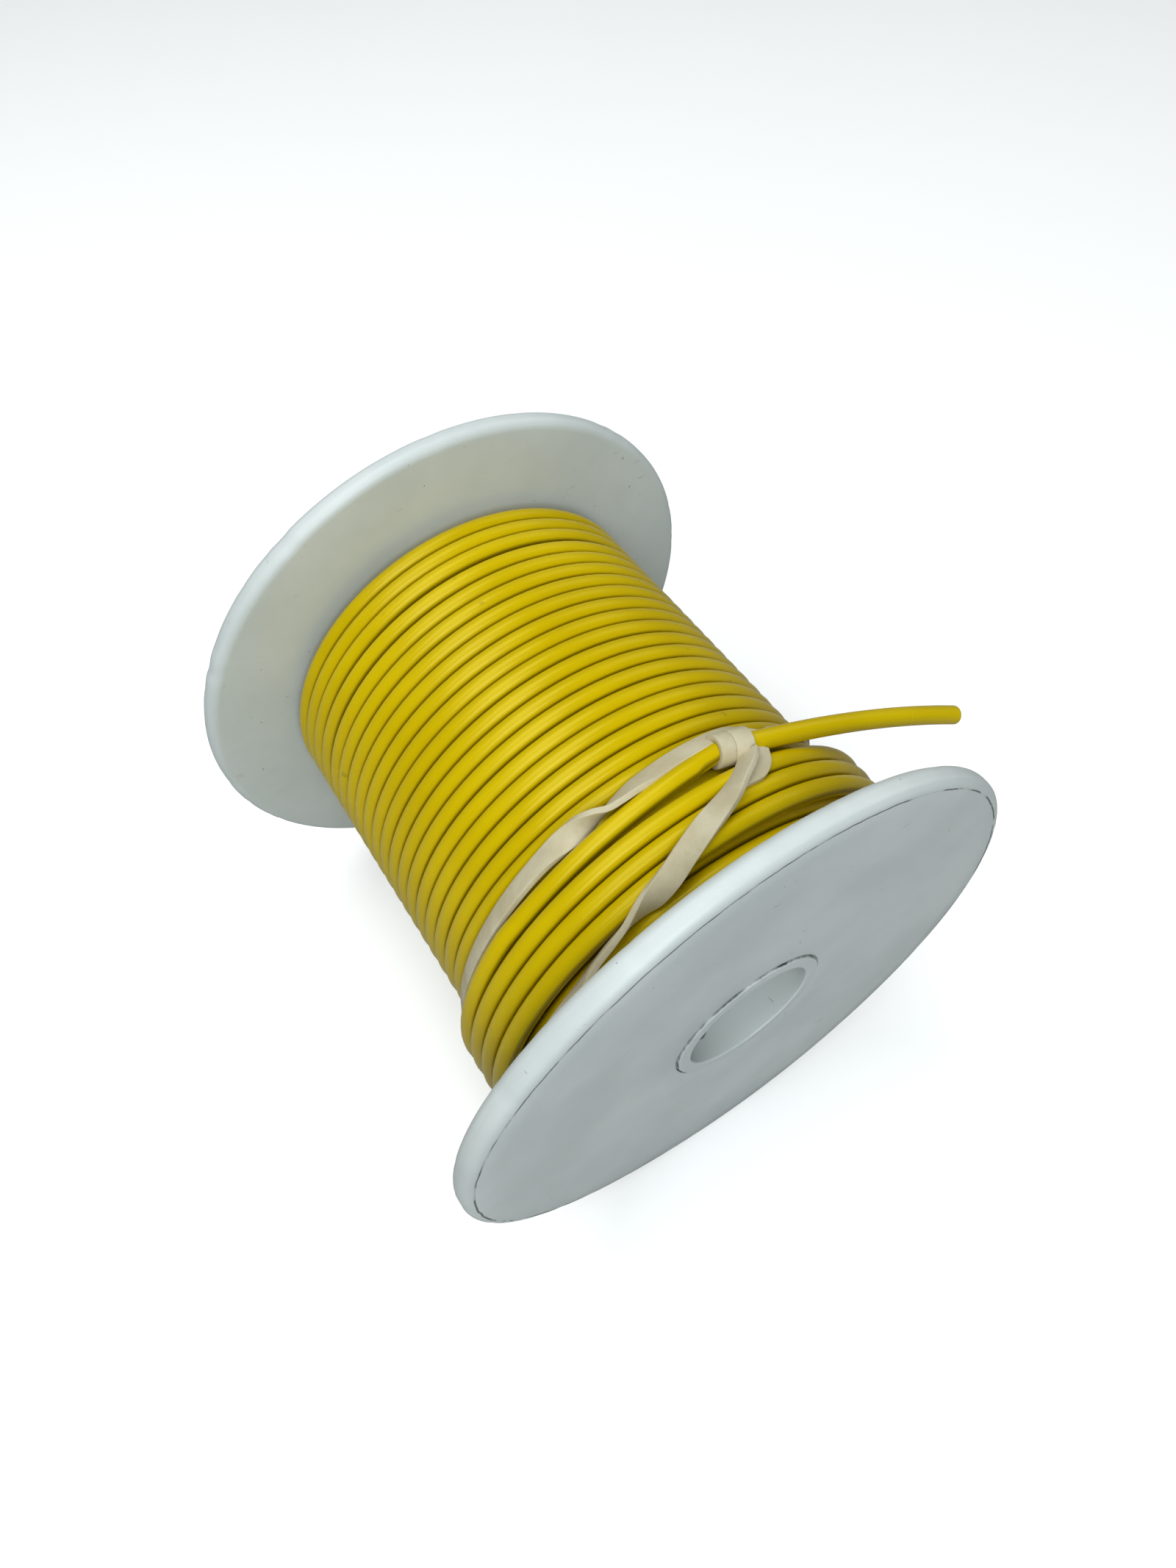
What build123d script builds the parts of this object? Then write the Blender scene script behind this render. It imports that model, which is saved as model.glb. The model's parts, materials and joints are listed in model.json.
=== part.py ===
from build123d import *
from math import cos, radians, sin, sqrt
import os

# A plastic spool of yellow hook-up wire, held shut by a rubber band.
# The origin is the middle of the bore, +Y runs along the bore to the rear flange and +Z is up,
# with the spool lying on its two rims. Angles round the bore run from +X towards +Z.

# ---- spool body ----
flange_r = 44.45
flange_t = 3.6
spool_width = 81.6
rim_round = 1.5
rest_ring_r = 36.0  # the flat ring that the spool stands on starts here
dish_r = 22.0
dish_depth = 0.5
bore_r = 9.8
tube_r = 11.4
lip_r = 11.85
lip_rise = 0.3
lip_seat = 0.35
collar_r = 12.75
collar_h = 2.0
barrel_inner_r = 12.85
barrel_r = 14.45
rib_count = 6
rib_w = 1.6
rib_root = 0.4  # the ribs run this far into the barrel wall
rib_clear = 0.5  # and stop this far short of the collars
snug = 0.05  # gap between pieces that are assembled and never move
face_y = spool_width / 2
inner_y = face_y - flange_t
floor_y = face_y - dish_depth
edge_break = 0.25

# ---- wire ----
wire_r = 1.35
jacket_bore_r = 0.91
strand_r = 0.178
strand_ring = 0.362  # the inner ring of strands; the outer ring is twice as far out
turns = 26
layers = 6
layer_step = 2.8
winding_gap = 0.09
first_layer_r = barrel_r + winding_gap + wire_r
climb_arc = 40  # degrees in which the wire climbs to the next layer
lead_in = 45  # degrees between the start hole and the first turn
hole_angle = -121
hole_r = 1.5
start_inset = 0.55  # the cut start of the wire lies just inside the bore wall
start_slant = 30
seam = 0.5  # degrees between one named stretch of the wire and the next
end_turn_y = inner_y - wire_r - snug
turn_gap = 0.5  # one loose place in the visible layer
loose_turn = 4
loose_arc = 0.5  # in turns, like the next
loose_lead = 0.6

# ---- the part layer on top, which ends in the free end ----
cross_arc = 104  # degrees in which the wire crosses to where the close turns begin
top_first_y = -30.56
top_pitch = 2.754
top_arc = 1214  # degrees from the first close turn to the band
lift_arc = 30  # the wire lifts off the turns over this last stretch
drift_arc = 100
drift = 1.0
lift = 0.95
under_band = 3.0  # length of the free end's own curve before the middle of the band

# ---- free end ----
tail_length = 39.0
tail_out = 0.05  # how far the wire points outwards, and towards the front, where it leaves
tail_front = 0.145
curl_r = 146.0
curl_lean = 0.24
hinges = [4.0, 11.0, 18.0, 25.0, 32.0]  # places along the free end where it is divided to bend
ball_r = 1.34
socket_r = 1.45
socket_back = 0.6
solid_root = 2.4

# ---- rubber band ----
band_t = 0.85
band_w = 3.0
band_inner_r = 31.36  # the rear strand lies flat on the full layers, beside the last turn
rear_strand_y = -17.5
wrap_w = 4.6
wrap_gap = 0.1
over_r = 34.53  # middle of the front strand where it lies over the top layer
gap_r = 31.88  # and where it lies in the gap beside the front flange
sink_from = 118  # the angle at which it goes down into the gap, and the degrees that takes
sink_arc = 20
rise_from = 190  # and the same where it comes up again
rise_arc = 24
strand_from = 79  # the front strand leaves the wrap at this angle and comes back to it at strand_to
strand_to = 434
strand_end_y = -23.75
# moves along the bore on the way: from which angle, over how many degrees, how far
strand_moves = [(strand_from, 44, -9.85), (216, 40, 2.6), (250, 150, 5.6), (420, 14, 1.65)]
strand_knots = [428, 420, 400, 360, 310, 256, 236, 214, 202, 190, 164, 138, 128, 118, 101]
guide_out = 8.0  # the line that keeps the strand flat runs this far outside it

os.makedirs("parts", exist_ok=True)


def save(piece, name):
    piece.part.label = name
    export_step(piece.part, f"parts/{name}.step")


def smooth(value):
    """0 up to 0, 1 from 1, and an even slope between."""
    u = min(max(value, 0.0), 1.0)
    return u * u * (3 - 2 * u)


def on_drum(angle, radius, y):
    """A point at an angle round the bore axis."""
    return Vector(radius * cos(radians(angle)), y, radius * sin(radians(angle)))


def heading(angle, radius_at, y_at):
    """The wire's direction at an angle, for wire that is laid with its angle falling."""
    step = 0.01
    ahead = on_drum(angle - step, radius_at(angle - step), y_at(angle - step))
    behind = on_drum(angle + step, radius_at(angle + step), y_at(angle + step))
    return (ahead - behind).normalized()


def arc_pair(start, start_way, end, end_way):
    """Draw two arcs that join two points and leave no corner at either of them."""
    gap = end - start
    ways = start_way + end_way
    a = 2 * (1 - start_way.dot(end_way))
    b = 2 * gap.dot(ways)
    c = -gap.dot(gap)
    reach = (sqrt(b * b - 4 * a * c) - b) / (2 * a) if a > 1e-12 else -c / b
    near = start + start_way * reach
    far = end - end_way * reach
    middle = (near + far) * 0.5
    TangentArc(start, middle, tangent=start_way)
    TangentArc(middle, end, tangent=(far - near).normalized())


def through(places, ways):
    """Draw a smooth line through places, with its direction given at each."""
    for k in range(len(places) - 1):
        arc_pair(places[k], ways[k], places[k + 1], ways[k + 1])


def laid(angles, radius_at, y_at):
    """The places and directions of wire laid round the drum, at falling angles."""
    places = [on_drum(angle, radius_at(angle), y_at(angle)) for angle in angles]
    ways = [heading(angle, radius_at, y_at) for angle in angles]
    return places, ways


# ---- the moulded spool ----
def flange(side):
    """A disc with a rounded rim, a faintly dished face and a collar inside the barrel."""
    with BuildPart() as disc:
        with BuildSketch(Plane.XY) as half:
            with BuildLine():
                Polyline(
                    (tube_r + snug, side * (inner_y - collar_h)),
                    (collar_r, side * (inner_y - collar_h)),
                    (collar_r, side * inner_y),
                    (flange_r, side * inner_y),
                    (flange_r, side * face_y),
                    (rest_ring_r, side * face_y),
                    (dish_r, side * floor_y),
                    (lip_r + 2 * snug, side * floor_y),
                    (lip_r + 2 * snug, side * (floor_y - lip_seat)),
                    (tube_r + snug, side * (floor_y - lip_seat)),
                    close=True,
                )
            make_face()
            rim = half.vertices().group_by(Axis.X)[-1]
            fillet(rim, rim_round)
        revolve(axis=Axis.Y)
    return disc


start_place = on_drum(hole_angle, bore_r + start_inset, -end_turn_y)
start_out = on_drum(hole_angle - start_slant, 1, 0)


def start_line():
    """Draw the wire's way from the bore wall, out through both walls, to the first turn."""
    last = hole_angle - lead_in + seam
    arc_pair(start_place, start_out, on_drum(last, first_layer_r, -end_turn_y), on_drum(last - 90, 1, 0))


def start_way(radius, inner_radius=0.0):
    """The start of the wire, or with a larger radius the way that it needs through the walls."""
    with BuildPart() as bent:
        with BuildLine():
            start_line()
        with BuildSketch(Plane(origin=start_place, z_dir=start_out)):
            Circle(radius)
            if inner_radius:
                Circle(inner_radius, mode=Mode.SUBTRACT)
        sweep()
    return bent


way_through = start_way(hole_r)
front_flange = flange(-1)
with front_flange:
    add(way_through.part, mode=Mode.SUBTRACT)
save(front_flange, "front_flange")
rear_flange = flange(1)
save(rear_flange, "rear_flange")

with BuildPart() as core_tube:
    lip_under = floor_y - lip_seat + snug
    lip_top = floor_y + lip_rise
    with BuildSketch(Plane.XY) as wall:
        with Locations(((bore_r + tube_r) / 2, 0)):
            Rectangle(tube_r - bore_r, 2 * lip_top)
        for side in (-1, 1):
            with Locations(((bore_r + lip_r) / 2, side * (lip_top + lip_under) / 2)):
                Rectangle(lip_r - bore_r, lip_top - lip_under)
    revolve(axis=Axis.Y)
    ends = core_tube.edges().filter_by(GeomType.CIRCLE).group_by(Axis.Y)
    fillet(ends[0] + ends[-1], edge_break)
    add(way_through.part, mode=Mode.SUBTRACT)
    with BuildSketch(Plane(origin=start_place, z_dir=start_out)):
        Circle(hole_r)
    extrude(amount=-2 * hole_r, mode=Mode.SUBTRACT)
save(core_tube, "core_tube")

with BuildPart() as winding_barrel:
    with BuildSketch(Plane.XZ.offset(-(inner_y - snug))):
        Circle(barrel_r)
        Circle(barrel_inner_r, mode=Mode.SUBTRACT)
    extrude(amount=2 * (inner_y - snug))
    rib_y = inner_y - collar_h - rib_clear
    rib_outer_r = barrel_inner_r + rib_root
    with BuildSketch(Plane.XZ.offset(-rib_y)):
        with PolarLocations((tube_r + snug + rib_outer_r) / 2, rib_count):
            Rectangle(rib_outer_r - tube_r - snug, rib_w)
    extrude(amount=2 * rib_y)
    add(way_through.part, mode=Mode.SUBTRACT)
save(winding_barrel, "winding_barrel")

# ---- the wound wire ----
wire_start = start_way(wire_r, jacket_bore_r)
save(wire_start, "wire_start")


def strand_places(rings):
    """Where the strands of each ring lie across the wire."""
    places = []
    for ring in rings:
        count = 6 * ring
        for k in range(count):
            turn = radians(360 * k / count)
            places.append((strand_ring * ring * cos(turn), strand_ring * ring * sin(turn)))
    return places


with BuildPart() as wire_start_strands:
    with BuildLine():
        start_line()
    with BuildSketch(Plane(origin=start_place, z_dir=start_out)):
        Circle(strand_r)
        with Locations(*strand_places([1, 2])):
            Circle(strand_r)
    sweep()
save(wire_start_strands, "wire_start_strands")

layer_arc = turns * 360 + climb_arc
pitch = 2 * end_turn_y / turns


def layer(number):
    """One full layer of turns, with the climb to the next layer at its end."""
    first = hole_angle - lead_in - (number - 1) * layer_arc
    side = -1 if number % 2 else 1
    own_r = first_layer_r + (number - 1) * layer_step
    own_pitch = pitch - (turn_gap / turns if number == layers else 0)

    def radius_at(angle):
        return own_r + layer_step * smooth((first - turns * 360 - angle) / climb_arc)

    def y_at(angle):
        wound = min(max((first - angle) / 360, 0), turns)
        loose = turn_gap * smooth((wound - loose_turn + loose_lead) / loose_arc) if number == layers else 0
        return side * (end_turn_y - own_pitch * wound - loose)

    quarter_turns = [first - 90 * k for k in range(4 * turns + 1)]
    climb = [first - turns * 360 - climb_arc / 2, first - layer_arc + seam]
    angles = quarter_turns + climb
    with BuildPart() as coil:
        with BuildLine():
            places, ways = laid(angles, radius_at, y_at)
            through(places, ways)
        with BuildSketch(Plane(origin=places[0], z_dir=ways[0])):
            Circle(wire_r)
        sweep(clean=False)
    return coil


for number in range(1, layers + 1):
    save(layer(number), f"wire_layer_{number}")

# ---- the free end's own curve, which starts at the middle of the band ----
top_r = first_layer_r + layers * layer_step
top_start = hole_angle - lead_in - layers * layer_arc
top_end = top_start - cross_arc - top_arc
band_radius = top_r + lift
band_y = top_first_y + top_pitch * top_arc / 360 + drift
leave = on_drum(top_end, band_radius, band_y)
out_way = on_drum(top_end, 1, 0)
along_way = on_drum(top_end - 90, 1, 0)
tail_way = (along_way + out_way * tail_out - Vector(0, tail_front, 0)).normalized()
pull = (out_way * -1 - Vector(0, curl_lean, 0))
curl_way = (pull - tail_way * pull.dot(tail_way)).normalized()
side_way = tail_way.cross(curl_way)


def tail_place(s):
    return leave + tail_way * (curl_r * sin(s / curl_r)) + curl_way * (curl_r * (1 - cos(s / curl_r)))


def tail_heading(s):
    return tail_way * cos(s / curl_r) + curl_way * sin(s / curl_r)


def tail_plane(s):
    return Plane(origin=tail_place(s), x_dir=side_way, z_dir=tail_heading(s))


def draw_tail(start, end):
    TangentArc(tail_place(start), tail_place(end), tangent=tail_heading(start))


def top_radius(angle):
    return top_r + lift * smooth((top_end + lift_arc - angle) / lift_arc)


def top_y(angle):
    crossed = smooth((top_start - angle) / cross_arc)
    close_turns = max(top_start - cross_arc - angle, 0) / 360
    drifted = drift * smooth((top_end + drift_arc - angle) / drift_arc)
    return -end_turn_y + (top_first_y + end_turn_y) * crossed + top_pitch * close_turns + drifted


with BuildPart() as wire_top_layer:
    with BuildLine():
        crossing = [top_start, top_start - cross_arc / 2]
        quarters = int((top_arc - drift_arc) / 90) + 1
        close = [top_start - cross_arc - 90 * k for k in range(quarters)]
        leaving = [top_end + drift_arc, top_end + 2 * lift_arc, top_end + lift_arc]
        places, ways = laid(crossing + close + leaving, top_radius, top_y)
        through(places + [tail_place(-under_band)], ways + [tail_heading(-under_band)])
        draw_tail(-under_band, hinges[0] - socket_back)
    with BuildSketch(Plane(origin=places[0], z_dir=ways[0])):
        Circle(wire_r)
    sweep(clean=False)
    with Locations(tail_plane(hinges[0])):
        Sphere(socket_r, mode=Mode.SUBTRACT)
save(wire_top_layer, "wire_top_layer")


# ---- the free end, divided into lengths that turn on each other like balls in sockets ----
def free_stretch(start, end, last):
    """One length of the free end: a ball at its start, and a socket or the cut at its end."""
    with BuildPart() as wire:
        with BuildLine():
            draw_tail(start, end if last else end - socket_back)
        with BuildSketch(tail_plane(start)):
            Circle(wire_r)
        sweep()
        with Locations(tail_plane(start)):
            Sphere(ball_r)
        if last:
            with BuildLine():
                draw_tail(start + solid_root, end)
            with BuildSketch(tail_plane(start + solid_root)):
                Circle(jacket_bore_r)
            sweep(mode=Mode.SUBTRACT)
        else:
            with Locations(tail_plane(end)):
                Sphere(socket_r, mode=Mode.SUBTRACT)
    return wire


places_along = hinges + [tail_length]
for k in range(len(hinges)):
    stretch = free_stretch(places_along[k], places_along[k + 1], k == len(hinges) - 1)
    save(stretch, f"free_end_{k + 1}")


def strands(rings):
    """Copper strands in the last stretch of the free end, flush with the cut."""
    with BuildPart() as copper:
        first = hinges[-1] + solid_root + snug
        with BuildLine():
            draw_tail(first, tail_length)
        with BuildSketch(tail_plane(first)):
            if rings:
                with Locations(*strand_places(rings)):
                    Circle(strand_r)
            else:
                Circle(strand_r)
        sweep()
    return copper


save(strands([]), "centre_strand")
save(strands([1]), "inner_strands")
save(strands([2]), "outer_strands")

# ---- the rubber band: a rear strand beside the last turn, a front strand and the wrap ----
def strand_radius(angle):
    """Over the top layer, down into the gap beside the flange, and up over the crossing wire."""
    sunk = smooth((angle - sink_from) / sink_arc) - smooth((angle - rise_from) / rise_arc)
    return over_r + (gap_r - over_r) * sunk


def guide_radius(angle):
    return strand_radius(angle) + guide_out


def strand_y(angle):
    return strand_end_y + sum(move * smooth((angle - start) / arc) for start, arc, move in strand_moves)


with BuildPart() as rubber_band:
    with BuildSketch(Plane.XY):
        with Locations((band_inner_r + band_t / 2, rear_strand_y)):
            Rectangle(band_t, band_w)
    revolve(axis=Axis.Y)
    with BuildSketch(tail_plane(0)):
        Circle(wire_r + wrap_gap + band_t)
        Circle(wire_r + wrap_gap, mode=Mode.SUBTRACT)
    extrude(amount=wrap_w / 2, both=True)
    with BuildLine():
        strand_angles = [strand_to] + strand_knots + [strand_from]
        places, ways = laid(strand_angles, strand_radius, strand_y)
        through(places, ways)
    with BuildLine(mode=Mode.PRIVATE) as guide:
        through(*laid(strand_angles, guide_radius, strand_y))
    with BuildSketch(Plane(origin=places[0], x_dir=(0, 1, 0), z_dir=ways[0])):
        Rectangle(band_w, band_t)
    sweep(binormal=guide.wire(), clean=False)
save(rubber_band, "rubber_band")
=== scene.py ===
import json
import math

import bpy
import numpy as np
from mathutils import Matrix, Vector


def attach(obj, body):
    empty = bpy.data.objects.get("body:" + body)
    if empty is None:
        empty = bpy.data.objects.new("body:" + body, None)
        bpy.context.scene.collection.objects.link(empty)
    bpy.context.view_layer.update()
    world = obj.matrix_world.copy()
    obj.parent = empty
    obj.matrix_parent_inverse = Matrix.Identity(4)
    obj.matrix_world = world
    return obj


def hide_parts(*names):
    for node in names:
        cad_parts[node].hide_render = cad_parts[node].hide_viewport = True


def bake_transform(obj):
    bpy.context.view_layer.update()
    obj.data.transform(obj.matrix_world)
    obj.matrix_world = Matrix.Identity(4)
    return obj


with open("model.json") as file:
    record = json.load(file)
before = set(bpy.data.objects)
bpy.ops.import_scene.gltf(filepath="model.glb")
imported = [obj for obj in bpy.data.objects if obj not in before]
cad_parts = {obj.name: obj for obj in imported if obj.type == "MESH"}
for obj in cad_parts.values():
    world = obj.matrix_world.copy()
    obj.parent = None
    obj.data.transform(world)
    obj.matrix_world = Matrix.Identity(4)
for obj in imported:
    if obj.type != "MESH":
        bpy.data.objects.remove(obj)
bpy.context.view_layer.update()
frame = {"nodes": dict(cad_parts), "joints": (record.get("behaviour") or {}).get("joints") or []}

MM = 0.001

# ---------------------------------------------------------------- sizes, in millimetres as in the CAD
wire_r = 1.35
jacket_bore_r = 0.91
drum_r = 14.54           # the first layer lies on this
layer_step = 2.8
turns = 26
layers = 6
end_turn_y = 35.80
climb_arc = 40.0         # degrees
first_angle = -166.0     # where the first turn starts
layer_arc = turns * 360 + climb_arc
turn_gap = 0.5           # the width of the loose place in the visible layer
loose_turn = 4           # and the turn that it follows
top_first_y = -30.56     # the part layer on top
top_pitch = 2.754
cross_arc = 104.0        # degrees to cross the layer below, and then of close turns
top_arc = 1214.0
drift = 1.0              # its last turn moves to the rear and off the turns below
lift = 0.95
under_band = 3.0         # the top layer follows the free end's line this far before the band
free_from = 0.8          # and the first length of the free end takes over here
tail_length = 39.0
tail_out = 0.05          # how far the free end's way leans outwards, and to the front
tail_front = 0.145
curl_r = 146.0
curl_lean = 0.24
solid_root = 2.4         # the jacket's bore starts this far past the last bend
cut_edge = 0.05
flange_r = 44.45
flange_t = 3.6
face_y = 40.8
rim_round = 1.5
rest_ring_r = 36.0
dish_r = 22.0
dish_depth = 0.5
hub_r = 11.45
collar_r = 12.75
collar_h = 2.0
lip_seat_r = 11.95
lip_seat = 0.35
start_angle = -121.0     # where the wire starts, at a hole in the bore wall
start_slant = 30.0
start_r = 10.35
tip_clear_r = 9.62       # its corners are trimmed to this radius
band_w = 3.0
band_t = 0.85
band_edge = 0.14
wrap_edge = 0.2
wrap_gap = 0.04
wrap_slant = 0.16
floor_half = 900.0
seen_steps, hidden_steps = 96, 48      # rows to a turn
seen_sides, hidden_sides = 20, 10      # corners round the wire
end_sides = 24
rim_nicks = 26
saddle_depth = 0.22
saddle_turn = 60         # degrees
inner_y = face_y - flange_t
main_r = drum_r + wire_r + (layers - 1) * layer_step
top_r = main_r + layer_step
top_start = first_angle - layers * layer_arc
top_end = top_start - cross_arc - top_arc
leave_angle = top_end % 360
floor_z = -flange_r

rng = np.random.default_rng(7)


# ---------------------------------------------------------------- lines
def smooth(value):
    """0 up to 0, 1 from 1, and an even slope between."""
    u = np.clip(value, 0.0, 1.0)
    return u * u * (3 - 2 * u)


def on_drum(angle, radius, y):
    """Points at angles round the bore axis, as rows."""
    a = np.radians(np.asarray(angle, float))
    r = np.asarray(radius, float)
    return np.stack(np.broadcast_arrays(r * np.cos(a), y, r * np.sin(a)), axis=-1).astype(float)


def unit(rows):
    return rows / np.linalg.norm(rows, axis=-1, keepdims=True)


def layer_line(number, per_turn):
    """The middle of one full layer and the climb at its end, with the outward direction there."""
    first = first_angle - (number - 1) * layer_arc
    angle = first - np.linspace(0, layer_arc, int(layer_arc / 360 * per_turn))
    own_r = drum_r + wire_r + (number - 1) * layer_step
    pitch = 2 * end_turn_y / turns
    wound = np.clip((first - angle) / 360, 0, turns)
    radius = own_r + layer_step * smooth((first - turns * 360 - angle) / climb_arc)
    along = pitch * wound
    if number == layers:
        loosened = smooth((wound - loose_turn + 0.6) / 0.5)
        along = (pitch - turn_gap / turns) * wound + turn_gap * loosened
        along = along + slack(angle, 0.03)
    side = -1 if number % 2 else 1
    return on_drum(angle, radius, side * (end_turn_y - along)), on_drum(angle, 1.0, 0.0)


def slack(angle, size):
    """The small wandering of hand-guided turns."""
    a = np.radians(angle)
    return size * (np.sin(a * 0.37 + 1.1) + 0.6 * np.sin(a * 1.13 + 0.4) + 0.5 * np.sin(a * 0.171))


def top_y(angle):
    crossed = smooth((top_start - angle) / cross_arc)
    close_turns = np.maximum(top_start - cross_arc - angle, 0) / 360
    drifted = drift * smooth((top_end + 100 - angle) / 100)
    return -end_turn_y + (top_first_y + end_turn_y) * crossed + top_pitch * close_turns + drifted


def top_radius(angle):
    return top_r + lift * smooth((top_end + 30 - angle) / 30)


leave = on_drum(top_end, top_r + lift, top_first_y + top_pitch * top_arc / 360 + drift)
out_way = on_drum(top_end, 1.0, 0.0)
along_way = on_drum(top_end - 90, 1.0, 0.0)
front_way = np.array([0.0, -1.0, 0.0])
tail_way = unit(along_way + out_way * tail_out + front_way * tail_front)
pull = front_way * curl_lean - out_way
curl_way = unit(pull - tail_way * pull.dot(tail_way))


def tail_line(s):
    """The middle of the free end at lengths s from the band, with the outward direction there."""
    s = np.atleast_1d(np.asarray(s, float))[:, None]
    sine, cosine = np.sin(s / curl_r), np.cos(s / curl_r)
    middle = leave + tail_way * curl_r * sine + curl_way * curl_r * (1 - cosine)
    outward = tail_way * sine - curl_way * cosine
    return middle, outward


def curve_through(rows, steps):
    """A smooth line through rows of numbers, steps points to each gap."""
    rows = np.asarray(rows, float)
    before = np.vstack([2 * rows[0] - rows[1], rows, 2 * rows[-1] - rows[-2]])
    t = np.linspace(0, 1, steps, endpoint=False)[:, None]
    parts = []
    for k in range(len(rows) - 1):
        a, b, c, d = before[k:k + 4]
        cubic = 2 * a - 5 * b + 4 * c - d + t * (3 * (b - c) + d - a)
        parts.append(b + 0.5 * t * (c - a + t * cubic))
    return np.vstack(parts + [rows[-1:]])


# ---------------------------------------------------------------- meshes
def make_mesh(name, places, faces, uvs=None, sharp=None):
    """A mesh object from places in millimetres; uvs holds one pair per place."""
    mesh = bpy.data.meshes.new(name)
    mesh.from_pydata((np.asarray(places) * MM).tolist(), [], faces)
    mesh.polygons.foreach_set("use_smooth", [True] * len(mesh.polygons))
    if uvs is not None:
        layer = mesh.uv_layers.new(name="UVMap")
        corners = np.zeros(len(mesh.loops), np.int32)
        mesh.loops.foreach_get("vertex_index", corners)
        layer.data.foreach_set("uv", np.asarray(uvs, np.float32)[corners].ravel())
    if sharp is not None:
        mesh.set_sharp_from_angle(angle=math.radians(sharp))
    mesh.update()
    piece = bpy.data.objects.new(name, mesh)
    bpy.context.scene.collection.objects.link(piece)
    return piece


def side_faces(rows, sides):
    """The quads between rows of places, each row closed on itself."""
    k = np.arange(sides)
    after = (k + 1) % sides
    first = (np.arange(rows - 1) * sides)[:, None]
    quads = np.stack([first + k, first + after, first + sides + after, first + sides + k], axis=-1)
    return quads.reshape(-1, 4).tolist()


def wire_uvs(sides, length):
    """U once round the wire, and v along it in metres."""
    u = np.arange(sides)[None] / sides
    return np.stack(np.broadcast_arrays(u, length[:, None] * MM), axis=-1).reshape(-1, 2)


def swept(name, middle, outward, outline, shut=True, sharp=None, start_at=0.0):
    """A closed outline (across, outward) carried along a line; outward rows turn it about the line."""
    ahead = unit(np.gradient(middle, axis=0))
    up = unit(outward - ahead * np.sum(outward * ahead, axis=1, keepdims=True))
    across = np.cross(ahead, up)
    outline = np.asarray(outline, float)
    if outline.ndim == 2:
        outline = np.broadcast_to(outline, (len(middle),) + outline.shape)
    places = middle[:, None] + across[:, None] * outline[..., :1] + up[:, None] * outline[..., 1:]
    rows, sides = places.shape[:2]
    faces = side_faces(rows, sides)
    if shut:
        k = np.arange(sides)
        faces.append(k[::-1].tolist())
        faces.append(((rows - 1) * sides + k).tolist())
    gaps = np.linalg.norm(np.diff(middle, axis=0), axis=1)
    length = start_at + np.concatenate([[0], np.cumsum(gaps)])
    return make_mesh(name, places.reshape(-1, 3), faces, wire_uvs(sides, length), sharp)


def ring_outline(radius, sides):
    a = np.linspace(0, 2 * math.pi, sides, endpoint=False)
    return np.stack([radius * np.cos(a), radius * np.sin(a)], axis=-1)


def strip_outline(width, thick, edge):
    """A flat strip with softened corners, four steps to a corner, as (across, outward)."""
    half_w, half_t = width / 2 - edge, thick / 2 - edge
    points = []
    for number, (x, y) in enumerate([(1, 1), (-1, 1), (-1, -1), (1, -1)]):
        for step in range(4):
            a = math.radians(90 * number + 30 * step)
            points.append((x * half_w + edge * math.cos(a), y * half_t + edge * math.sin(a)))
    return points


def ring_mesh(name, places, sharp=30):
    """A mesh from rows of places that close on themselves both ways."""
    steps, count = places.shape[:2]
    k = np.arange(count)
    after = (k + 1) % count
    first = (np.arange(steps) * count)[:, None]
    onward = ((np.arange(steps) + 1) % steps * count)[:, None]
    quads = np.stack([first + k, onward + k, onward + after, first + after], axis=-1)
    return make_mesh(name, places.reshape(-1, 3), quads.reshape(-1, 4).tolist(), None, sharp)


def lathe(name, profile, steps, sharp=None):
    """A closed profile of (radius, y) turned round the bore axis."""
    profile = np.asarray(profile, float)
    angle = np.linspace(0, 360, steps, endpoint=False)
    return ring_mesh(name, on_drum(angle[:, None], profile[None, :, 0], profile[None, :, 1]), sharp)


# ---------------------------------------------------------------- materials
class Nodes:
    """A short way to write node materials: each call adds a node and gives back its output."""

    def __init__(self, name):
        self.material = bpy.data.materials.new(name)
        self.material.use_nodes = True
        self.tree = self.material.node_tree
        self.shader = self.tree.nodes["Principled BSDF"]

    def put(self, socket, value):
        if isinstance(value, bpy.types.NodeSocket):
            self.tree.links.new(value, socket)
        else:
            socket.default_value = value

    def add(self, kind, inputs=None, output=0, **settings):
        node = self.tree.nodes.new(kind)
        for key, value in settings.items():
            setattr(node, key, value)
        for key, value in (inputs or {}).items():
            self.put(node.inputs[key], value)
        return node.outputs[output]

    def math(self, operation, a, b=0.0, c=0.0):
        return self.add("ShaderNodeMath", {0: a, 1: b, 2: c}, operation=operation)

    def ramp(self, value, low, high, out_low=0.0, out_high=1.0):
        return self.add(
            "ShaderNodeMapRange",
            {"Value": value, "From Min": low, "From Max": high, "To Min": out_low, "To Max": out_high},
            interpolation_type="SMOOTHSTEP",
        )

    def mix(self, factor, a, b, blend="MIX"):
        node = self.tree.nodes.new("ShaderNodeMix")
        node.data_type = "RGBA"
        node.blend_type = blend
        self.put(node.inputs[0], factor)
        self.put(node.inputs[6], a)
        self.put(node.inputs[7], b)
        return node.outputs[2]

    def noise(self, place, scale, detail=3.0, rough=0.55):
        inputs = {"Vector": place, "Scale": scale, "Detail": detail, "Roughness": rough}
        return self.add("ShaderNodeTexNoise", inputs)

    def bump(self, height, distance, strength=1.0, normal=None):
        inputs = {"Height": height, "Distance": distance, "Strength": strength}
        if normal is not None:
            inputs["Normal"] = normal
        return self.add("ShaderNodeBump", inputs)

    def set(self, **values):
        for key, value in values.items():
            self.put(self.shader.inputs[key.replace("_", " ")], value)
        return self.material


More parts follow.
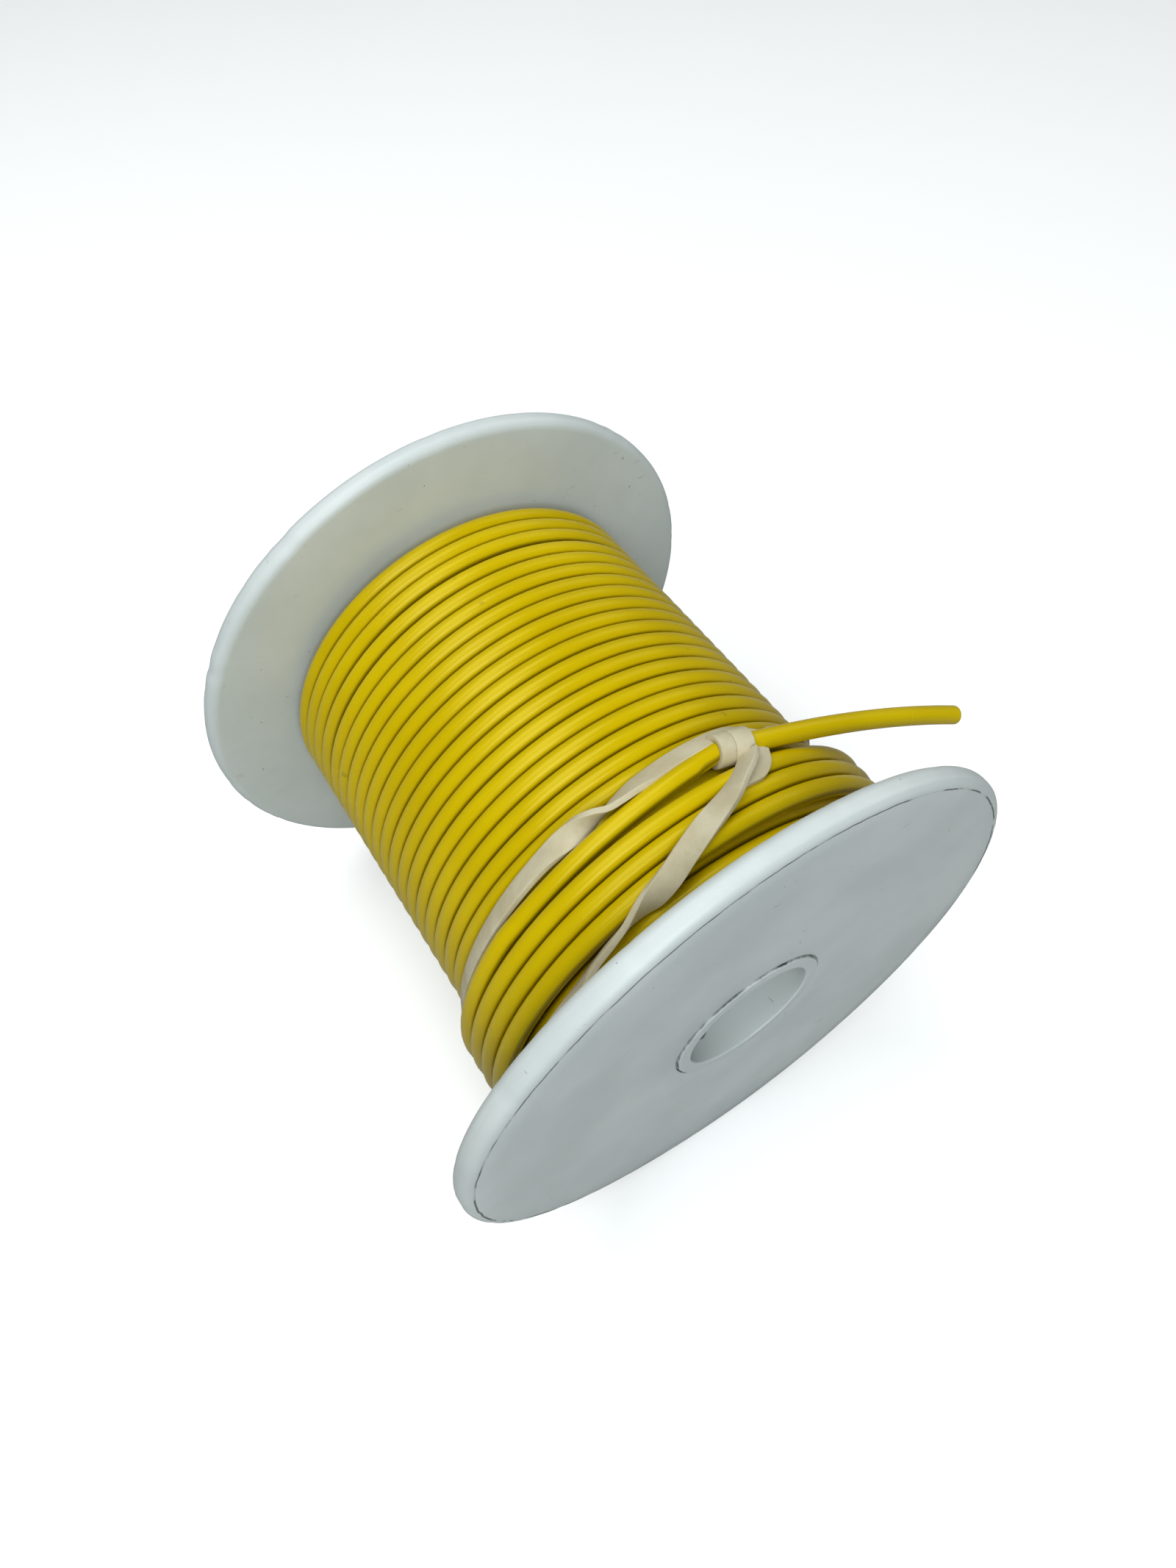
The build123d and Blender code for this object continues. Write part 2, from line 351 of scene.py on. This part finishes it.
def srgb(red, green, blue):
    """A colour given as it looks on a screen, 0 to 255."""
    def linear(c):
        c = c / 255
        return c / 12.92 if c <= 0.04045 else ((c + 0.055) / 1.055) ** 2.4
    return (linear(red), linear(green), linear(blue), 1.0)


def object_place(n):
    return n.add("ShaderNodeTexCoord", output=3)


def polar(n):
    """The distance from the bore axis, and y, in metres."""
    place = object_place(n)
    split = n.tree.nodes.new("ShaderNodeSeparateXYZ")
    n.put(split.inputs[0], place)
    x, y, z = split.outputs
    flat = n.math("ADD", n.math("MULTIPLY", x, x), n.math("MULTIPLY", z, z))
    return place, n.math("SQRT", flat), y


def line_at(n, value, centre, half):
    """1 on a thin line where value is near centre."""
    off = n.math("ABSOLUTE", n.math("SUBTRACT", value, centre))
    return n.ramp(off, half * 0.4, half, 1.0, 0.0)


def white_plastic():
    """Semi-gloss white polyethylene: faint mottling, handling marks, and dirt caught in two seams."""
    n = Nodes("white_plastic")
    place, radius, y = polar(n)
    cloud = n.noise(place, 60.0, 3.0)
    speck = n.noise(place, 2600.0, 2.0)
    clean = n.mix(n.ramp(cloud, 0.35, 0.7), srgb(208, 215, 212), srgb(217, 223, 220))
    stretched = {"Vector": place, "Rotation": (0.3, 0.5, 0.8), "Scale": (1, 1, 9)}
    scratch_place = n.add("ShaderNodeMapping", stretched)
    scratch = n.ramp(n.noise(scratch_place, 260.0, 2.0), 0.735, 0.76)
    dot = n.ramp(n.noise(place, 900.0, 1.0), 0.79, 0.83)
    broken = n.ramp(n.noise(place, 170.0, 4.0), 0.40, 0.52)
    faint = n.ramp(n.noise(place, 90.0, 2.0), 0.3, 0.6, 0.25, 1.0)
    outside = n.ramp(n.math("ABSOLUTE", y), (face_y - 0.9) * MM, (face_y - 0.5) * MM)
    wobble = n.math("MULTIPLY_ADD", n.noise(place, 420.0, 2.0), 0.0004, -0.0002)
    rim_line = line_at(n, n.math("ADD", radius, wobble), (flange_r - rim_round) * MM, 0.00017)
    hub_line = line_at(n, n.math("ADD", radius, wobble), (lip_seat_r + 0.05) * MM, 0.00022)
    rim_dirt = n.math("MULTIPLY", n.math("MULTIPLY", rim_line, broken), outside)
    hub_dirt = n.math("MULTIPLY", n.math("MULTIPLY", hub_line, faint), outside)
    marks = n.math("MAXIMUM", n.math("MULTIPLY", scratch, 0.35), n.math("MULTIPLY", dot, 0.55))
    dirt = n.math("MAXIMUM", n.math("MAXIMUM", n.math("MULTIPLY", rim_dirt, 0.9), hub_dirt), marks)
    colour = n.mix(dirt, clean, srgb(74, 76, 73))
    ripple = n.noise(place, 38.0, 2.0)
    normal = n.bump(ripple, 0.0009, 0.22)
    normal = n.bump(speck, 0.00004, 0.35, normal)
    normal = n.bump(n.math("SUBTRACT", 1.0, dirt), 0.00008, 0.6, normal)
    roughness = n.ramp(cloud, 0.3, 0.7, 0.36, 0.46)
    return n.set(
        Base_Color=colour, Roughness=roughness, Normal=normal, IOR=1.5,
        Subsurface_Weight=0.12, Subsurface_Radius=(1.0, 0.95, 0.9), Subsurface_Scale=0.0015,
    )


def yellow_jacket(name, wound):
    """Glossy yellow PVC with faint lines drawn along it by the extruder.

    UV v runs along the wire, in metres. Wound wire gets painted shade in the creases between its
    turns.
    """
    n = Nodes(name)
    uv = n.add("ShaderNodeTexCoord", output=2)
    place = object_place(n)
    drawn = n.add("ShaderNodeMapping", {"Vector": uv, "Scale": (26.0, 30.0, 1.0)})
    lines = n.noise(drawn, 1.0, 3.0, 0.6)
    patch = n.noise(place, 55.0, 2.0)
    fine = n.noise(place, 1500.0, 2.0)
    colour = n.mix(n.ramp(patch, 0.3, 0.7), srgb(200, 172, 0), srgb(209, 181, 0))
    colour = n.mix(n.ramp(lines, 0.2, 0.42, 0.35, 0.0), colour, srgb(190, 160, 0))
    if wound:
        # painted shade: the sides of each wound turn, where it meets its neighbours, are darkened to
        # stand in for the shade in the creases
        u = n.add("ShaderNodeSeparateXYZ", {0: uv})
        crease_shade_mask = n.math("ABSOLUTE", n.math("COSINE", n.math("MULTIPLY", u, 2 * math.pi)))
        colour = n.mix(n.ramp(crease_shade_mask, 0.78, 1.0, 0.0, 0.8), colour, srgb(104, 84, 0))
    smudge = n.ramp(n.noise(place, 330.0, 2.0), 0.72, 0.78, 0.0, 0.35)
    colour = n.mix(smudge, colour, srgb(120, 104, 30))
    normal = n.bump(lines, 0.00005, 0.35)
    normal = n.bump(fine, 0.00003, 0.25, normal)
    roughness = n.ramp(patch, 0.3, 0.7, 0.20, 0.30)
    return n.set(
        Base_Color=colour, Roughness=roughness, Normal=normal, IOR=1.5,
        Specular_IOR_Level=0.45, Specular_Tint=(1.0, 0.92, 0.25, 1.0),
    )


def bright_copper():
    n = Nodes("bright_copper")
    place = object_place(n)
    tone = n.noise(place, 2500.0, 2.0)
    colour = n.mix(tone, srgb(214, 138, 96), srgb(236, 172, 128))
    normal = n.bump(tone, 0.00001, 0.4)
    return n.set(Base_Color=colour, Metallic=1.0, Roughness=0.32, Normal=normal)


def natural_rubber():
    """Matt cream rubber with a dusty grain and a few dark specks."""
    n = Nodes("natural_rubber")
    place = object_place(n)
    grain = n.noise(place, 1900.0, 4.0, 0.65)
    cloud = n.noise(place, 220.0, 3.0)
    colour = n.mix(n.ramp(cloud, 0.3, 0.7), srgb(192, 180, 146), srgb(207, 197, 168))
    colour = n.mix(n.ramp(grain, 0.25, 0.5, 0.25, 0.0), colour, srgb(172, 158, 122))
    speck = n.ramp(n.noise(place, 1000.0, 1.0), 0.8, 0.84, 0.0, 0.8)
    colour = n.mix(speck, colour, srgb(96, 84, 60))
    normal = n.bump(grain, 0.00005, 0.5)
    return n.set(Base_Color=colour, Roughness=0.78, Normal=normal, IOR=1.45)


def pale_floor():
    """A pale sheet to the camera, which throws only a little light back up on the spool."""
    n = Nodes("pale_floor")
    tone = n.noise(object_place(n), 6.0, 2.0)
    colour = n.mix(tone, srgb(246, 246, 245), srgb(250, 250, 249))
    material = n.set(Base_Color=colour, Roughness=0.7, Emission_Color=colour, Emission_Strength=0.3)
    dull = n.add("ShaderNodeBsdfDiffuse", {"Color": srgb(165, 165, 163)})
    seen = n.add("ShaderNodeLightPath", output=0)
    both = n.add("ShaderNodeMixShader", {0: seen, 1: dull, 2: n.shader.outputs[0]})
    n.put(n.tree.nodes["Material Output"].inputs["Surface"], both)
    return material


plastic = white_plastic()
jacket = yellow_jacket("yellow_jacket", False)
crease_shaded_jacket = yellow_jacket("yellow_jacket_crease_shaded", True)
copper = bright_copper()
rubber = natural_rubber()


def finish_piece(piece, material, slot, body, *nodes):
    piece.data.materials.append(material)
    if body:
        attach(piece, body)
    if nodes:
        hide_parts(*nodes)
    return piece


# ---------------------------------------------------------------- the spool
def arc_points(centre, radius, start, end, steps):
    a = np.radians(np.linspace(start, end, steps))
    return [(centre[0] + radius * math.cos(x), centre[1] + radius * math.sin(x)) for x in a]


def flange_profile():
    """The section of a flange as (radius, distance from the middle of the spool)."""
    floor_y = face_y - dish_depth
    dish = [(r, face_y - dish_depth * float(smooth((rest_ring_r - r) / (rest_ring_r - dish_r))))
            for r in np.linspace(rest_ring_r, dish_r, 9)]
    collar_y = inner_y - collar_h
    profile = [(hub_r, collar_y), (collar_r - 0.2, collar_y), (collar_r, collar_y + 0.2)]
    profile += [(collar_r, inner_y - 0.1), (collar_r + 0.1, inner_y)]
    profile += [(r, inner_y) for r in (20.0, 31.0, 38.0)]
    profile += arc_points((flange_r - rim_round, inner_y + rim_round), rim_round, -90, 0, 9)
    profile += arc_points((flange_r - rim_round, face_y - rim_round), rim_round, 0, 90, 9)
    profile += [(flange_r - rim_round - 0.06, face_y - 0.03), (flange_r - rim_round - 0.14, face_y)]
    profile += [(40.0, face_y)] + dish
    profile += [(17.0, floor_y), (lip_seat_r + 0.35, floor_y), (lip_seat_r + 0.1, floor_y - 0.06)]
    profile += [(lip_seat_r, floor_y - lip_seat + 0.05), (lip_seat_r - 0.05, floor_y - lip_seat)]
    profile += [(hub_r + 0.05, floor_y - lip_seat), (hub_r, floor_y - lip_seat - 0.05)]
    return profile


def nick_rim(piece, side):
    """Small dents in the rim, a slight wave in the disc, and a saddle warp of its outer face."""
    mesh = piece.data
    count = len(mesh.vertices)
    co = np.zeros(count * 3, np.float32)
    mesh.vertices.foreach_get("co", co)
    co = co.reshape(-1, 3)
    angle = np.degrees(np.arctan2(co[:, 2], co[:, 0])) % 360
    radius = np.hypot(co[:, 0], co[:, 2])
    at_rim = smooth((radius / MM - (flange_r - 2.2)) / 1.2)
    push = np.zeros(count)
    for _ in range(rim_nicks):
        where = rng.uniform(0, 360)
        wide = rng.uniform(0.5, 1.6)
        push -= rng.uniform(0.03, 0.12) * np.exp(-((((angle - where + 180) % 360) - 180) / wide) ** 2)
    turn = np.radians(angle)
    wave = 0.05 * np.sin(turn * 2 + 0.7 * side) + 0.03 * np.sin(turn * 5 + side)
    shrink = 1 + (push * at_rim) * MM / np.maximum(radius, 1e-6)
    co[:, 0] *= shrink
    co[:, 2] *= shrink
    co[:, 1] += (wave * smooth((radius / MM - 30) / 14) * MM).astype(np.float32)
    outside = smooth((np.abs(co[:, 1]) / MM - (face_y - 0.9)) / 0.4)
    saddle = saddle_depth * np.cos(2 * np.radians(angle - saddle_turn))
    saddle = saddle * smooth((radius / MM - 13) / 20)
    co[:, 1] -= (saddle * outside * np.sign(co[:, 1]) * MM).astype(np.float32)
    mesh.vertices.foreach_set("co", co.ravel())
    mesh.update()


def build_flanges():
    """Both discs, a little warped and knocked about the rim."""
    for side, name in ((-1, "front_flange"), (1, "rear_flange")):
        profile = [(r, side * y) for r, y in flange_profile()]
        if side > 0:
            profile = profile[::-1]
        piece = lathe(name + "_disc", profile, 288, sharp=50)
        nick_rim(piece, side)
        finish_piece(piece, plastic, "white_plastic", "spool", name)


# ---------------------------------------------------------------- the wire
def build_layers():
    for number in range(1, layers + 1):
        seen = number == layers
        middle, outward = layer_line(number, seen_steps if seen else hidden_steps)
        outline = ring_outline(wire_r, seen_sides if seen else hidden_sides)
        piece = swept(f"wire_layer_{number}_turns", middle, outward, outline)
        finish_piece(piece, crease_shaded_jacket, "yellow_jacket", "spool", f"wire_layer_{number}")


def build_start_tip():
    """The cut start of the wire, in its hole in the bore wall and trimmed clear of the bore."""
    place = on_drum(start_angle, start_r, -end_turn_y)
    ahead = on_drum(start_angle - start_slant, 1.0, 0.0)
    across = np.array([0.0, 1.0, 0.0])
    up = np.cross(across, ahead)
    rows = [(0.02, wire_r), (-0.45, wire_r), (-0.5, wire_r - 0.05)]
    rows += [(-0.5, jacket_bore_r), (0.02, jacket_bore_r)]
    a = np.linspace(0, 2 * math.pi, 32, endpoint=False)[:, None]
    round_way = across * np.cos(a) + up * np.sin(a)
    places = np.stack([place + ahead * s + round_way * r for s, r in rows], axis=1)
    reach = np.hypot(places[..., 0], places[..., 2])
    places[..., [0, 2]] *= (np.maximum(reach, tip_clear_r) / reach)[..., None]
    piece = ring_mesh("wire_start_tip", places)
    finish_piece(piece, jacket, "yellow_jacket", "spool")


def top_line(per_turn):
    """The part layer on top, blended into the free end's own curve under the band."""
    last = top_end + 5.5
    angle = np.linspace(top_start, last, int((top_start - last) / 360 * per_turn))
    middle = on_drum(angle, top_radius(angle), top_y(angle) + slack(angle, 0.015))
    outward = on_drum(angle, 1.0, 0.0)
    under, under_out = tail_line(np.linspace(-under_band, free_from, 9))
    return np.vstack([middle, under]), np.vstack([outward, under_out])


def ease(middle, first, last, times):
    """Round off the join between two stretches of line."""
    for _ in range(times):
        part = middle[first:last]
        part[1:-1] = 0.25 * part[:-2] + 0.5 * part[1:-1] + 0.25 * part[2:]
    return middle


def build_top_layer():
    middle, outward = top_line(seen_steps)
    middle = ease(middle, len(middle) - 26, len(middle) - 5, 30)
    piece = swept("wire_top_turns", middle, outward, ring_outline(wire_r, seen_sides))
    finish_piece(piece, crease_shaded_jacket, "yellow_jacket", "spool", "wire_top_layer")


def build_free_end():
    """Lengths of wire, one round each bend, cut halfway between the bends."""
    places = np.array([j["pos_m"] for j in frame["joints"] if j["type"] == "hinge"]) / MM
    s_all = np.linspace(0, tail_length, 2000)
    middle_all, _ = tail_line(s_all)
    bends = sorted(float(s_all[np.argmin(np.linalg.norm(middle_all - p, axis=1))]) for p in places)
    half = (bends[1] - bends[0]) / 2
    cuts = [free_from] + [s + half for s in bends[:-1]] + [tail_length]
    for k, s in enumerate(bends):
        name = f"free_end_{k + 1}_wire"
        rows = np.arange(cuts[k], cuts[k + 1] + 0.01, (cuts[k + 1] - cuts[k]) / 28)
        if s == bends[-1]:
            piece = cut_end_piece(name, rows, s)
        else:
            line = tail_line(rows)
            piece = swept(name, *line, ring_outline(wire_r, end_sides), shut=False, start_at=cuts[k])
        finish_piece(piece, jacket, "yellow_jacket", None)
        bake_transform(piece)
        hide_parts(f"free_end_{k + 1}")


def cut_end_piece(name, rows, last_bend):
    """The last stretch: it runs out to the cut, over its rounded edge and back inside the jacket."""
    bore_end = last_bend + solid_root + 0.2
    over_edge = [tail_length - cut_edge, tail_length - cut_edge * 0.3, tail_length]
    s = np.concatenate([rows[:-1], over_edge, [tail_length, tail_length, bore_end, bore_end]])
    edge_r = [wire_r - cut_edge * 0.3, wire_r - cut_edge]
    bore_r = [jacket_bore_r + 0.05, jacket_bore_r, jacket_bore_r, 0.02]
    r = np.concatenate([np.full(len(rows), wire_r), edge_r, bore_r])
    line, out = tail_line(s)
    across = np.cross(unit(np.cross(np.cross(out, tail_way), out)), out)
    a = np.linspace(0, 2 * math.pi, end_sides, endpoint=False)
    round_way = across[:, None] * np.cos(a)[None, :, None] + out[:, None] * np.sin(a)[None, :, None]
    places = line[:, None] + r[:, None, None] * round_way
    count, sides = places.shape[:2]
    faces = side_faces(count, sides)
    return make_mesh(name, places.reshape(-1, 3), faces, wire_uvs(sides, s), sharp=30)


# ---------------------------------------------------------------- the rubber band
def strand(name, knots):
    """A flat strip through knots of (angle, radius, y, tilt).

    Tilt 0 lies flat and 90 stands on its edge. A fifth number is the strip's width there.
    """
    rows = curve_through([tuple(knot) + (band_w,) * (5 - len(knot)) for knot in knots], 14)
    middle = on_drum(rows[:, 0], rows[:, 1], rows[:, 2])
    ahead = unit(np.gradient(middle, axis=0))
    outward = on_drum(rows[:, 0], 1.0, 0.0)
    outward = unit(outward - ahead * np.sum(outward * ahead, axis=1, keepdims=True))
    across = np.cross(ahead, outward)
    tilt = np.radians(rows[:, 3:4])
    leaning = outward * np.cos(tilt) + across * np.sin(tilt)
    outline = [strip_outline(width, band_t, band_edge) for width in rows[:, 4]]
    return swept(name, middle, leaning, outline, sharp=60)


def beside_last_turn(angle, gap):
    """A y on the rear side of the last turn, which is gap clear of the wire's middle."""
    return float(top_y(top_end - leave_angle + angle)) + gap


def build_band():
    """Two strands that run round the turns and in under the free end, a fold, and two wraps."""
    rear = [
        (67.6, 33.5, -19.1, 45), (71.1, 33.9, -18.5, 40), (74.1, 33.9, -18.3, 35),
        (79.5, 33.6, -18.25, 27), (87.6, 32.9, -18.1, 26), (93.3, 32.6, -18.2, 28),
        (98.4, 32.5, -18.2, 38), (102.7, 32.5, -18.45, 50), (105.7, 32.6, -18.6, 62),
        (108.8, 32.5, -18.3, 88), (113.0, 32.2, -18.1, 128), (117.3, 32.1, -18.05, 165),
        (123.8, 32.1, -18.0, 198), (136, 32.1, -18.3, 205), (150, 32.1, -18.75, 205),
    ]
    rear += [(a, 32.1, beside_last_turn(a, 2.75), 205) for a in (170, 200, 240, 280, 310)]
    rear += [
        (335, 31.9, -17.6, 200, 2.7), (355, 31.72, -13.9, 185, 2.3), (372, 31.72, -12.4, 180, 2.0),
        (380, 31.72, -13.3, 180, 1.9), (388, 31.72, -14.8, 182, 1.9), (395, 31.72, -16.2, 185, 1.9),
        (405, 31.75, -17.9, 195, 1.9), (413, 32.0, -18.8, 200, 2.1), (424, 32.7, -19.7, 205, 2.4),
    ]
    front = [
        (74.2, 34.5, -22.45, 60), (76.4, 34.8, -23.6, 57), (80.7, 34.9, -25.25, 54),
        (85.9, 34.9, -26.95, 32), (92.6, 34.8, -28.4, 5), (99.6, 34.6, -29.9, -20),
        (104.8, 34.3, -31.0, -30), (108.9, 33.8, -31.4, -50), (113.0, 33.3, -31.5, -85),
        (117.4, 32.9, -31.75, -110), (122.0, 32.6, -32.0, -120), (128, 32.3, -32.4, -122),
        (136, 31.95, -33.2, -140), (150, 31.75, -33.9, -178), (185, 31.75, -33.9, -180),
        (200, 32.9, -33.6, -180), (214, 34.3, -32.4, -180), (222, 34.5, -31.2, -180),
        (250, 34.5, -29.0, -180), (280, 34.5, -25.8, -180), (305, 34.3, -21.4, -170, 2.8),
        (325, 33.2, -17.7, -165, 2.5), (345, 32.63, -14.7, -178, 2.2),
        (372, 32.6, -12.6, -180, 1.9), (380, 32.6, -13.7, -180, 1.9), (388, 32.6, -15.3, -178, 1.9),
        (395, 32.6, -16.9, -175, 1.9), (405, 32.65, -18.5, -165, 1.9),
        (413, 32.9, -19.2, -160, 2.0), (422, 33.5, -19.8, -158, 2.3),
    ]
    fold = [
        (70.2, 33.9, -21.7, 0, 3.0), (73.2, 34.2, -23.6, 0, 3.5), (76.0, 34.3, -24.9, 0, 3.1),
        (79.0, 34.4, -25.6, 0, 2.0), (81.5, 34.4, -25.95, 0, 1.0),
    ]
    runs = (("rear_strand", rear), ("front_strand", front), ("fold", fold))
    parts = [strand(f"band_{name}", knots) for name, knots in runs]
    for number, (centre, width) in enumerate(((-1.38, 2.15), (1.05, 2.75))):
        parts.append(wrap(f"band_wrap_{number + 1}", centre, width, 0.06 * number))
    for part in parts:
        finish_piece(part, rubber, "band_rubber", "spool", "rubber_band")


def wrap(name, centre, width, lift_off):
    """One turn of the band round the wire."""
    a = np.linspace(0, 2 * math.pi, 49)[:-1]
    middle, outward = tail_line(np.full(len(a), centre) + wrap_slant * np.sin(a))
    ahead = unit(np.cross(np.cross(outward, tail_way), outward))
    across = np.cross(ahead, outward)
    round_way = across * np.cos(a)[:, None] + outward * np.sin(a)[:, None]
    section = np.asarray(strip_outline(width, band_t, wrap_edge))[None]
    reach = wire_r + wrap_gap + band_t / 2 + lift_off
    raised = round_way[:, None] * (reach + section[..., 1:])
    places = middle[:, None] + raised + ahead[:, None] * section[..., :1]
    return ring_mesh(name, places, sharp=60)


# ---------------------------------------------------------------- CAD pieces that stay as they are
def dress_cad_nodes():
    kept = {
        "core_tube": plastic, "winding_barrel": plastic, "wire_start": jacket,
        "wire_start_strands": copper, "centre_strand": copper,
        "inner_strands": copper, "outer_strands": copper,
    }
    for name, material in kept.items():
        node = frame["nodes"][name]
        for place in node.material_slots:
            place.material = material


# ---------------------------------------------------------------- floor, light and camera
def build_floor():
    around = [(-1, -1), (1, -1), (1, 1), (-1, 1)]
    corners = [(x * floor_half, y * floor_half, floor_z) for x, y in around]
    floor = make_mesh("floor", corners, [(0, 1, 2, 3)])
    floor.data.materials.append(pale_floor())


def area_light(name, place, size, power, colour):
    data = bpy.data.lights.new(name, "AREA")
    data.shape = "RECTANGLE"
    data.size, data.size_y = size
    data.energy = power
    data.color = colour
    light = bpy.data.objects.new(name, data)
    light.location = place
    light.rotation_mode = "QUATERNION"
    light.rotation_quaternion = (-Vector(place)).to_track_quat("-Z", "Y")
    bpy.context.scene.collection.objects.link(light)


def build_light():
    world = bpy.data.worlds.new("studio")
    world.use_nodes = True
    tree = world.node_tree
    fill = tree.nodes["Background"]
    fill.inputs["Color"].default_value = (0.88, 0.96, 1.0, 1.0)
    fill.inputs["Strength"].default_value = 0.15
    backdrop = tree.nodes.new("ShaderNodeBackground")
    backdrop.inputs["Color"].default_value = (1.0, 1.0, 1.0, 1.0)
    seen = tree.nodes.new("ShaderNodeLightPath")
    both = tree.nodes.new("ShaderNodeMixShader")
    tree.links.new(seen.outputs["Is Camera Ray"], both.inputs[0])
    tree.links.new(fill.outputs[0], both.inputs[1])
    tree.links.new(backdrop.outputs[0], both.inputs[2])
    tree.links.new(both.outputs[0], tree.nodes["World Output"].inputs["Surface"])
    bpy.context.scene.world = world
    area_light("window", (-0.17, 0.12, 0.68), (0.62, 0.55), 3.3, (0.96, 0.99, 1.0))
    area_light("front", (-0.22, -0.46, 0.50), (0.40, 0.40), 2.9, (0.91, 0.97, 1.0))
    area_light("right", (0.55, 0.10, 0.55), (0.50, 0.50), 0.6, (0.97, 0.99, 1.0))
    bpy.context.scene.view_settings.view_transform = "Standard"


def build_camera():
    """Close, above and in front of the spool, to its left."""
    data = bpy.data.cameras.new("camera")
    data.sensor_width = 36.0
    data.lens = 25.71
    data.shift_x = 0.0031
    data.shift_y = -0.0603
    data.clip_start = 0.005
    camera = bpy.data.objects.new("camera", data)
    back = Vector((-0.3392, -0.5157, 0.7868)).normalized()
    right = Vector((0, 0, 1)).cross(back).normalized()
    up = back.cross(right)
    turn = Matrix((right, up, back)).transposed().to_4x4()
    camera.matrix_world = Matrix.Translation(Vector((-51.14, -77.30, 146.66)) * MM) @ turn
    bpy.context.scene.collection.objects.link(camera)
    bpy.context.scene.camera = camera


build_flanges()
build_layers()
build_start_tip()
build_top_layer()
build_free_end()
build_band()
dress_cad_nodes()
build_floor()
build_light()
build_camera()
